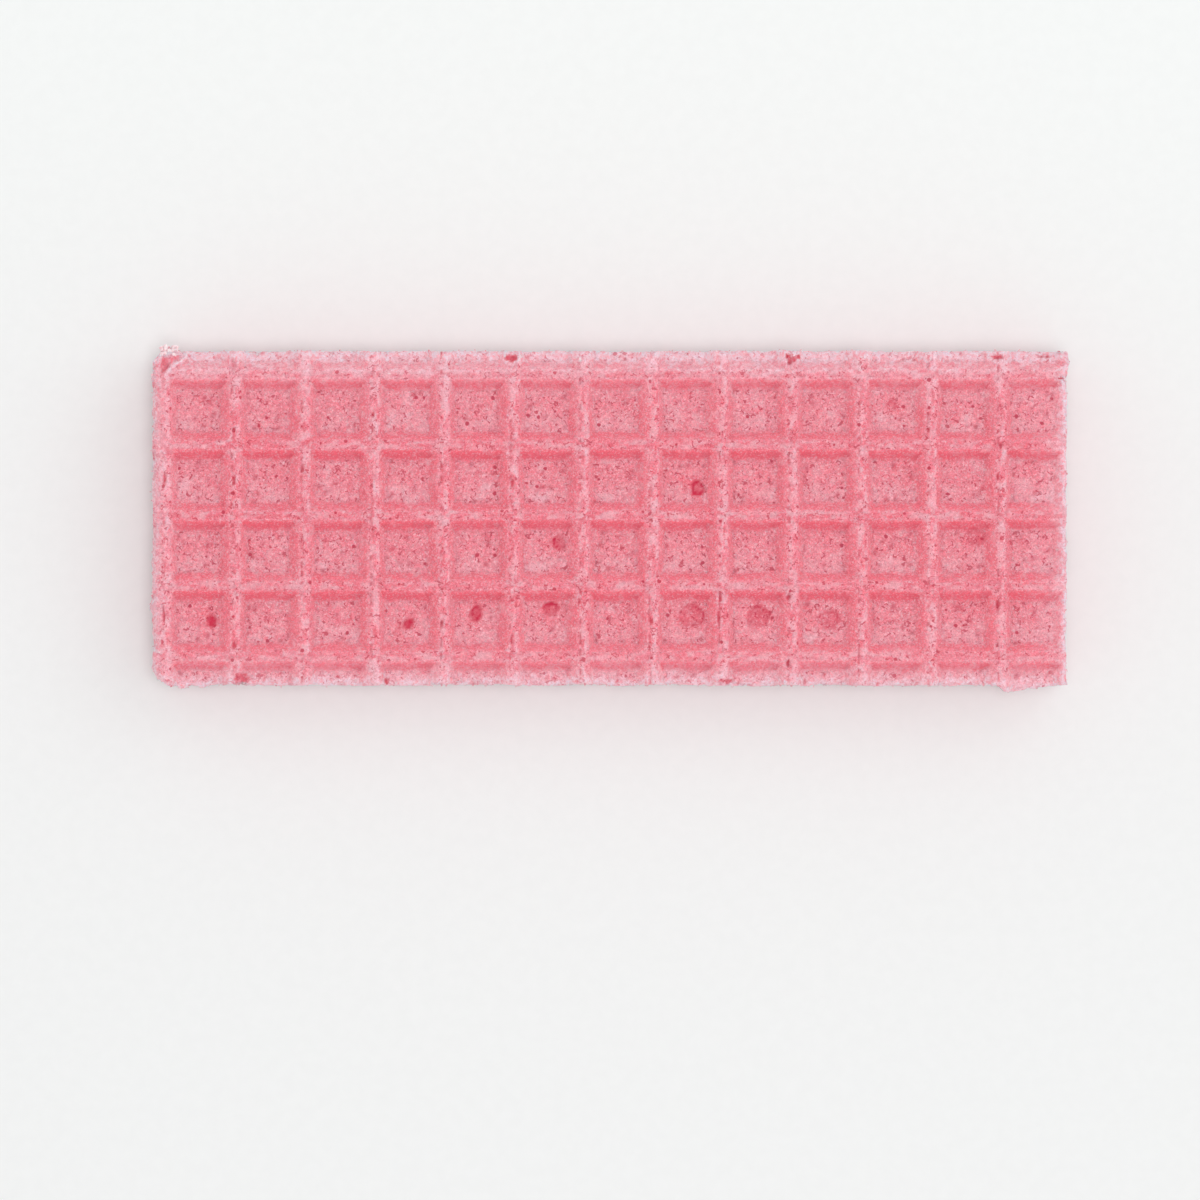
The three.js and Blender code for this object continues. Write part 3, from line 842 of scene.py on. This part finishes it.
class Nodes:
    """Short names for making the nodes of one material."""

    def __init__(self, name):
        self.material = bpy.data.materials.new(name)
        self.material.use_nodes = True
        self.tree = self.material.node_tree
        self.shader = self.tree.nodes["Principled BSDF"]

    def link(self, source, target):
        self.tree.links.new(source, target)

    def node(self, kind, **settings):
        made = self.tree.nodes.new(kind)
        for key, value in settings.items():
            setattr(made, key, value)
        return made

    def value_of(self, attribute):
        return self.node("ShaderNodeAttribute", attribute_name=attribute).outputs["Fac"]

    def place(self):
        """Places on the wafer, in millimetres."""
        coordinates = self.node("ShaderNodeTexCoord")
        mapping = self.node("ShaderNodeMapping")
        mapping.inputs["Scale"].default_value = (1 / MM, 1 / MM, 1 / MM)
        self.link(coordinates.outputs["Object"], mapping.inputs["Vector"])
        return mapping.outputs["Vector"]

    def noise(self, per_mm, detail=2.0, roughness=0.5, distortion=0.0):
        made = self.node("ShaderNodeTexNoise")
        made.inputs["Scale"].default_value = per_mm
        made.inputs["Detail"].default_value = detail
        made.inputs["Roughness"].default_value = roughness
        made.inputs["Distortion"].default_value = distortion
        self.link(self.place(), made.inputs["Vector"])
        return made.outputs["Fac"]

    def ramp(self, value, low, high, to_low=0.0, to_high=1.0):
        made = self.node("ShaderNodeMapRange", interpolation_type="SMOOTHSTEP")
        self.link(value, made.inputs["Value"])
        made.inputs["From Min"].default_value = low
        made.inputs["From Max"].default_value = high
        made.inputs["To Min"].default_value = to_low
        made.inputs["To Max"].default_value = to_high
        return made.outputs["Result"]

    def math(self, operation, first, second):
        made = self.node("ShaderNodeMath", operation=operation)
        for socket, value in zip(made.inputs, (first, second)):
            if isinstance(value, (int, float)):
                socket.default_value = value
            else:
                self.link(value, socket)
        return made.outputs[0]

    def mix(self, amount, under, over, blend="MIX"):
        made = self.node("ShaderNodeMix", data_type="RGBA", blend_type=blend)
        for socket, value in ((0, amount), (6, under), (7, over)):
            if isinstance(value, (int, float, tuple)):
                made.inputs[socket].default_value = value
            else:
                self.link(value, made.inputs[socket])
        return made.outputs[2]

    def tone(self, red, others):
        """A colour of one value in red, and of another one in green and blue."""
        made = self.node("ShaderNodeCombineColor")
        for channel, value in (("Red", red), ("Green", others), ("Blue", others)):
            self.link(value, made.inputs[channel])
        return made.outputs["Color"]

    def bump(self, height, strength, depth):
        """Fine relief in the shading, with its depth in millimetres."""
        made = self.node("ShaderNodeBump")
        made.inputs["Strength"].default_value = strength
        made.inputs["Distance"].default_value = depth * MM
        self.link(height, made.inputs["Height"])
        self.link(made.outputs["Normal"], self.shader.inputs["Normal"])

    def soften(self, weight, reach):
        """Light travels a short way under the surface, each colour its own distance in millimetres."""
        self.shader.inputs["Subsurface Weight"].default_value = weight
        self.shader.inputs["Subsurface Radius"].default_value = reach
        self.shader.inputs["Subsurface Scale"].default_value = MM

    def pores(self, per_mm, size, share):
        """Round spots of random size in a share of the cells: 1 in a spot, 0 outside."""
        cells = self.node("ShaderNodeTexVoronoi", feature="F1")
        cells.inputs["Scale"].default_value = per_mm
        wander = self.node("ShaderNodeTexNoise")
        wander.inputs["Scale"].default_value = 3.0
        place = self.place()
        self.link(place, wander.inputs["Vector"])
        bent = self.node("ShaderNodeVectorMath", operation="MULTIPLY_ADD")
        self.link(wander.outputs["Color"], bent.inputs[0])
        bent.inputs[1].default_value = (0.18, 0.18, 0.18)
        self.link(place, bent.inputs[2])
        self.link(bent.outputs["Vector"], cells.inputs["Vector"])
        split = self.node("ShaderNodeSeparateColor")
        self.link(cells.outputs["Color"], split.inputs["Color"])
        chosen = self.ramp(split.outputs["Red"], 1 - share, 1 - share + 0.1)
        reach = self.math("MULTIPLY", chosen, self.ramp(split.outputs["Green"], 0, 1, 0.4 * size, size))
        gap = self.math("SUBTRACT", reach, cells.outputs["Distance"])
        return self.ramp(gap, 0.0, 0.35 * size)


def skin_colour(n, tints, open_skin):
    """The skin: redder on slopes, paler on crests and frosty places, painted shade and light, broad patches,
    small glints.
    """
    colour = n.mix(tints["wall"], FLOOR_PINK, SLOPE_AND_SHADE_PINK)
    colour = n.mix(tints["crest"], colour, CREST_PINK)
    colour = n.mix(tints["frost"], colour, FROST_AND_LIGHT_PINK)
    mottle = n.noise(PER_MM["mottle"], 3.0, 0.6)
    colour = n.mix(n.ramp(mottle, 0.3, 0.7, 0.0, 0.22), colour, CREST_PINK)
    patches = n.noise(PER_MM["patches"], 2.0, 0.6, distortion=0.6)
    colour = n.mix(n.ramp(patches, 0.50, 0.72, 0.0, 0.34), colour, FROST_AND_LIGHT_PINK)
    colour = n.mix(n.ramp(patches, 0.50, 0.28, 0.0, 0.56), colour, DUSKY_PINK)
    glints = n.ramp(n.noise(PER_MM["glints"], 1.0, 0.5, distortion=0.8), 0.50, 0.70, 0.0, 0.75)
    return n.mix(n.math("MULTIPLY", glints, open_skin), colour, FROST_AND_LIGHT_PINK)


def foam_colour(n, tints, colour, pale_foam):
    """The broken foam at the cuts, which is duller where it was sawn."""
    foam = n.noise(PER_MM["foam"], 2.0, 0.6, distortion=0.8)
    foam = n.ramp(foam, 0.32, 0.68, 0.40, 1.45)
    colour = n.mix(n.math("MULTIPLY", tints["cut"], foam), colour, pale_foam)
    return n.mix(n.math("MULTIPLY", tints["sawn"], 0.85), colour, SAWN_PINK)


def grainy_colour(n, tints, colour, open_skin, grain, sugar):
    """A fine light and dark grain, weaker in red than in the other colours."""
    coarse_shade = n.ramp(grain, 0.25, 0.75, 0.87, 1.09)
    fine_shade = n.ramp(sugar, 0.25, 0.75, 0.85, 1.10)
    shade = n.math("MULTIPLY", coarse_shade, fine_shade)
    red_shade = n.ramp(shade, 0.7, 1.2, 0.81, 1.09)
    red_shade = n.math("MAXIMUM", red_shade, n.math("MULTIPLY", tints["cut"], 1.05))
    return n.mix(open_skin, colour, n.tone(red_shade, shade), "MULTIPLY")


def pitted_colour(n, tints, colour, pinholes):
    """Dark pores and pits, few on smooth slopes and in broken foam, painted front-slope shade, and burst
    bubbles.
    """
    holes = n.math("MAXIMUM", pinholes, n.pores(PER_MM["pores"], 0.30, 0.35))
    smooth = n.ramp(tints["wall"], 0.05, 0.3, 0.0, 0.8)
    holes = n.math("MULTIPLY", holes, n.math("SUBTRACT", 1.0, smooth))
    holes = n.math("MULTIPLY", holes, n.math("SUBTRACT", 1.0, n.math("MULTIPLY", tints["cut"], 0.4)))
    holes = n.math("MAXIMUM", holes, tints["pit"])
    colour = n.mix(n.math("MULTIPLY", holes, 0.93), colour, PORE_AND_SHADE_RED)
    return n.mix(n.math("MULTIPLY", tints["deep"], 0.95), colour, DEEP_RED_AND_SHADE)


def baked_wafer(name, softness, pale_foam):
    """Dry porous pink wafer: tinted by the pattern and by painted shade and light, speckled, with pinholes
    and a fine grain.
    """
    n = Nodes(name)
    tints = {tint: n.value_of(tint) for tint in Builder.TINTS}
    grain = n.noise(PER_MM["grain"], 1.0, 0.5, distortion=0.8)
    sugar = n.noise(PER_MM["sugar"], 1.0, 0.5)
    pinholes = n.ramp(n.noise(PER_MM["pinholes"], 1.0, 0.5, distortion=1.2), 0.59, 0.70, 0.0, 0.85)
    open_skin = n.math("SUBTRACT", 1.0, n.math("MULTIPLY", tints["wall"], 0.3))
    colour = skin_colour(n, tints, open_skin)
    colour = foam_colour(n, tints, colour, pale_foam)
    colour = grainy_colour(n, tints, colour, open_skin, grain, sugar)
    colour = pitted_colour(n, tints, colour, pinholes)
    n.link(colour, n.shader.inputs["Base Color"])
    n.link(n.ramp(grain, 0.2, 0.8, 0.72, 0.95), n.shader.inputs["Roughness"])
    holes = n.math("MAXIMUM", pinholes, tints["pit"])
    n.bump(n.math("SUBTRACT", n.math("ADD", grain, sugar), holes), strength=0.5, depth=0.1)
    n.soften(softness, reach=(1.5, 0.36, 0.36))
    if softness:
        firm = n.math("MULTIPLY", tints["deep"], 0.8)
        n.link(n.math("SUBTRACT", softness, firm), n.shader.inputs["Subsurface Weight"])
    n.shader.inputs["Specular IOR Level"].default_value = 0.25
    return n.material


def sugar_cream():
    """Soft pale sugar cream with a fine sugary grain."""
    n = Nodes("sugar_cream")
    patches = n.noise(0.9, 3.0, 0.55)
    grain = n.noise(7.0, 2.0, 0.6)
    colour = n.mix(n.ramp(patches, 0.3, 0.7), CREAM_PINK, CREAM_PALE)
    colour = n.mix(n.ramp(grain, 0.45, 0.75, 0.0, 0.3), colour, CREAM_GRAIN)
    colour = n.mix(n.math("MULTIPLY", n.value_of("pit"), 0.5), colour, CREAM_HOLE)
    n.link(colour, n.shader.inputs["Base Color"])
    n.link(n.ramp(grain, 0.2, 0.8, 0.42, 0.66), n.shader.inputs["Roughness"])
    n.bump(grain, strength=0.3, depth=0.08)
    n.soften(0.5, reach=(0.4, 0.3, 0.26))
    return n.material


def table_top():
    """A plain pale surface with a very faint mottle, and painted light that makes it a little lighter towards
    the back.
    """
    n = Nodes("table_top")
    split = n.node("ShaderNodeSeparateXYZ")
    n.link(n.place(), split.inputs["Vector"])
    # Painted light: the floor lightens towards the back.
    colour = n.mix(n.ramp(split.outputs["Y"], -5.0, 45.0), TABLE_WHITE, TABLE_LIT_BACK)
    paper = n.ramp(n.noise(0.9, 4.0, 0.6), 0.3, 0.7, 0.985, 1.0)
    n.link(n.mix(1.0, colour, n.tone(paper, paper), "MULTIPLY"), n.shader.inputs["Base Color"])
    n.shader.inputs["Roughness"].default_value = 0.9
    return n.material


# Crumbs and splinters on the sawn edges: their sheet, how many, their half width and their stretch.
CRUMBS = [
    {"sheet": "top", "count": 260, "size": (0.04, 0.13), "stretch": None},
    {"sheet": "middle", "count": 120, "size": (0.05, 0.14), "stretch": None},
    {"sheet": "top", "count": 240, "size": (0.03, 0.045), "stretch": (3.0, 6.0)},
]
CRUMB_LUMPS = 0.3
CRUMB_SIDES = (0.7, 1.25)
CRUMB_LEAN = (1.0, 1.0, 0.35)  # splinters lie flat more often than they stand

# The tuft of pale foam outside the chip.
TUFT = {
    "count": 120,
    "u": (0.7, 1.95),
    "v": (25.25, 25.95),
    "z": (8.3, 8.95),
    "size": (0.04, 0.13),
    "stretch": (1.0, 2.2),
}


def add_crumbs(rims):
    """Loose crumbs and splinters that cling to the sawn edges, and a tuft of foam at the chipped corner."""
    random = np.random.default_rng(SEEDS["crumbs"])
    builder = Builder()
    ball = crumb_ball()
    for kind in CRUMBS:
        rim = rims[kind["sheet"]]
        for place in rim[random.choice(len(rim), kind["count"], replace=False)]:
            size = random.uniform(*kind["size"])
            stretch = random.uniform(*kind["stretch"]) if kind["stretch"] else 1.0
            add_crumb(builder, ball, random, place, size, stretch)
    for _ in range(TUFT["count"]):
        u, v, z = [random.uniform(*TUFT[axis]) for axis in ("u", "v", "z")]
        size, stretch = random.uniform(*TUFT["size"]), random.uniform(*TUFT["stretch"])
        add_crumb(builder, ball, random, np.array([u + PLAN_X, v + PLAN_Y, z]), size, stretch, tuft=True)
    return builder.make("crumbs")


def add_crumb(builder, ball, random, place, size, stretch, tuft=False):
    """One uneven crumb, stretched in a random direction."""
    lumps = 1 + CRUMB_LUMPS * random.uniform(-1, 1, len(ball["points"]))
    shape = ball["points"] * lumps[:, None] * size * random.uniform(*CRUMB_SIDES, 3)
    direction = random.normal(size=3) * CRUMB_LEAN
    direction /= np.linalg.norm(direction)
    shape = shape + np.outer(shape @ direction, direction) * (stretch - 1)
    if tuft:
        numbers = builder.add(shape + place, cut=1.0, wall=1.0, frost=1.0)
    else:
        numbers = builder.add(shape + place, cut=random.uniform(0.15, 0.65), crest=0.5)
    builder.faces += [[numbers[corner] for corner in face] for face in ball["faces"]]


def crumb_ball():
    """A small ball of points and faces, as numpy points and lists."""
    shape = bmesh.new()
    bmesh.ops.create_icosphere(shape, subdivisions=1, radius=1.0)
    points = np.array([corner.co for corner in shape.verts])
    faces = [[corner.index for corner in face.verts] for face in shape.faces]
    shape.free()
    return {"points": points, "faces": faces}


def rim_points(builder, low, high):
    """The points of a sheet that lie on its sawn sides."""
    points = np.concatenate(builder.points)
    cut = np.concatenate(builder.tints["cut"])
    inside = (points[:, 2] > low + 0.3) & (points[:, 2] < high - 0.02)
    return points[(cut > 0.4) & inside]


def dress(piece, material, slot, *nodes):
    """Gives a piece its material and its place in the frame."""
    piece.data.materials.append(material)
    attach(piece, "root")
    if nodes:
        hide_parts(*nodes)


def build_wafer():
    """All the pieces of the wafer."""
    wafer = baked_wafer("baked_wafer", 1.0, CUT_PINK)
    crumb = baked_wafer("loose_crumb", 0.0, TUFT_PINK)
    cream = sugar_cream()
    top = patterned_sheet("top", TOP_FIRST, TOP_CUT, UNDER_TOP, TOP)
    under = patterned_sheet("under", UNDER_FIRST, UNDER_CUT, 0.0, OVER_BOTTOM)
    middle = plain_layer("middle", MIDDLE_CUT, BAKED_SIDE, UNDER_MIDDLE, OVER_MIDDLE)
    upper = plain_layer("upper_cream", UPPER_CREAM_CUT, CREAM_SIDE, OVER_MIDDLE, UNDER_TOP)
    lower = plain_layer("lower_cream", LOWER_CREAM_CUT, CREAM_SIDE, OVER_BOTTOM, UNDER_MIDDLE)
    rims = {"top": rim_points(top, UNDER_TOP, TOP), "middle": rim_points(middle, UNDER_MIDDLE, OVER_MIDDLE)}
    crumbs = add_crumbs(rims)
    dress(top.make("baked_top"), wafer, "baked_wafer", "wafer_top")
    dress(under.make("baked_under", upside_down=OVER_BOTTOM), wafer, "baked_wafer", "wafer_bottom")
    dress(middle.make("baked_middle"), wafer, "baked_wafer", "wafer_middle")
    dress(upper.make("filling_upper"), cream, "cream", "cream_upper")
    dress(lower.make("filling_lower"), cream, "cream", "cream_lower")
    dress(crumbs, crumb, "baked_wafer")


# The picture: 1200 pixels a side, with the wafer's middle at this pixel.
PICTURE = 1200
PIXELS_PER_MM = 13.08
WAFER_PIXEL = (609.25, 518.0)
CAMERA_DISTANCE = 600.0
SENSOR = 36.0
FLOOR_HALF = 3.0  # metres

# The light: how bright it is all round, and each lamp's name, place and width in metres, and watts.
WORLD_STRENGTH = 0.614
LAMPS = [("overhead", (0.033, -0.033, 0.95), 0.20, 2.88), ("side", (0.52, 0.24, 0.82), 0.8, 1.3)]


def add_camera():
    """Looks straight down, framed as the picture is."""
    data = bpy.data.cameras.new("camera")
    data.sensor_width = SENSOR
    data.lens = SENSOR * CAMERA_DISTANCE / (PICTURE / PIXELS_PER_MM)
    data.clip_start = 0.01
    data.clip_end = 10.0
    camera = bpy.data.objects.new("camera", data)
    right = (PICTURE / 2 - WAFER_PIXEL[0]) / PIXELS_PER_MM + PLAN_X + LENGTH / 2
    down = (PICTURE / 2 - WAFER_PIXEL[1]) / PIXELS_PER_MM - PLAN_Y - WIDTH / 2
    camera.location = (right * MM, -down * MM, (TOP + CAMERA_DISTANCE) * MM)
    bpy.context.scene.collection.objects.link(camera)
    bpy.context.scene.camera = camera


def add_floor():
    """A wide pale floor under the wafer."""
    corners = [(-1, -1), (1, -1), (1, 1), (-1, 1)]
    points = [(x * FLOOR_HALF, y * FLOOR_HALF, 0) for x, y in corners]
    mesh = bpy.data.meshes.new("floor")
    mesh.from_pydata(points, [], [(0, 1, 2, 3)])
    floor = bpy.data.objects.new("floor", mesh)
    floor.data.materials.append(table_top())
    bpy.context.scene.collection.objects.link(floor)


def add_lamp(name, place, size, watts):
    """One square soft light that shines on the wafer."""
    data = bpy.data.lights.new(name, "AREA")
    data.shape = "SQUARE"
    data.size = size
    data.energy = watts
    lamp = bpy.data.objects.new(name, data)
    lamp.location = place
    lamp.rotation_euler = (-lamp.location).to_track_quat("-Z", "Y").to_euler()
    lamp.visible_camera = False
    bpy.context.scene.collection.objects.link(lamp)


def add_light():
    """Even light from all round, a soft light above, and a weaker one from the right and behind."""
    world = bpy.data.worlds.new("world")
    world.use_nodes = True
    background = world.node_tree.nodes["Background"]
    background.inputs["Color"].default_value = (1.0, 1.0, 1.0, 1)
    background.inputs["Strength"].default_value = WORLD_STRENGTH
    bpy.context.scene.world = world
    for lamp in LAMPS:
        add_lamp(*lamp)


def set_colours():
    """Plain colours, as a scanner or a flat product photo has them."""
    bpy.context.scene.view_settings.view_transform = "Standard"
    bpy.context.scene.view_settings.look = "None"


build_wafer()
add_floor()
add_camera()
add_light()
set_colours()
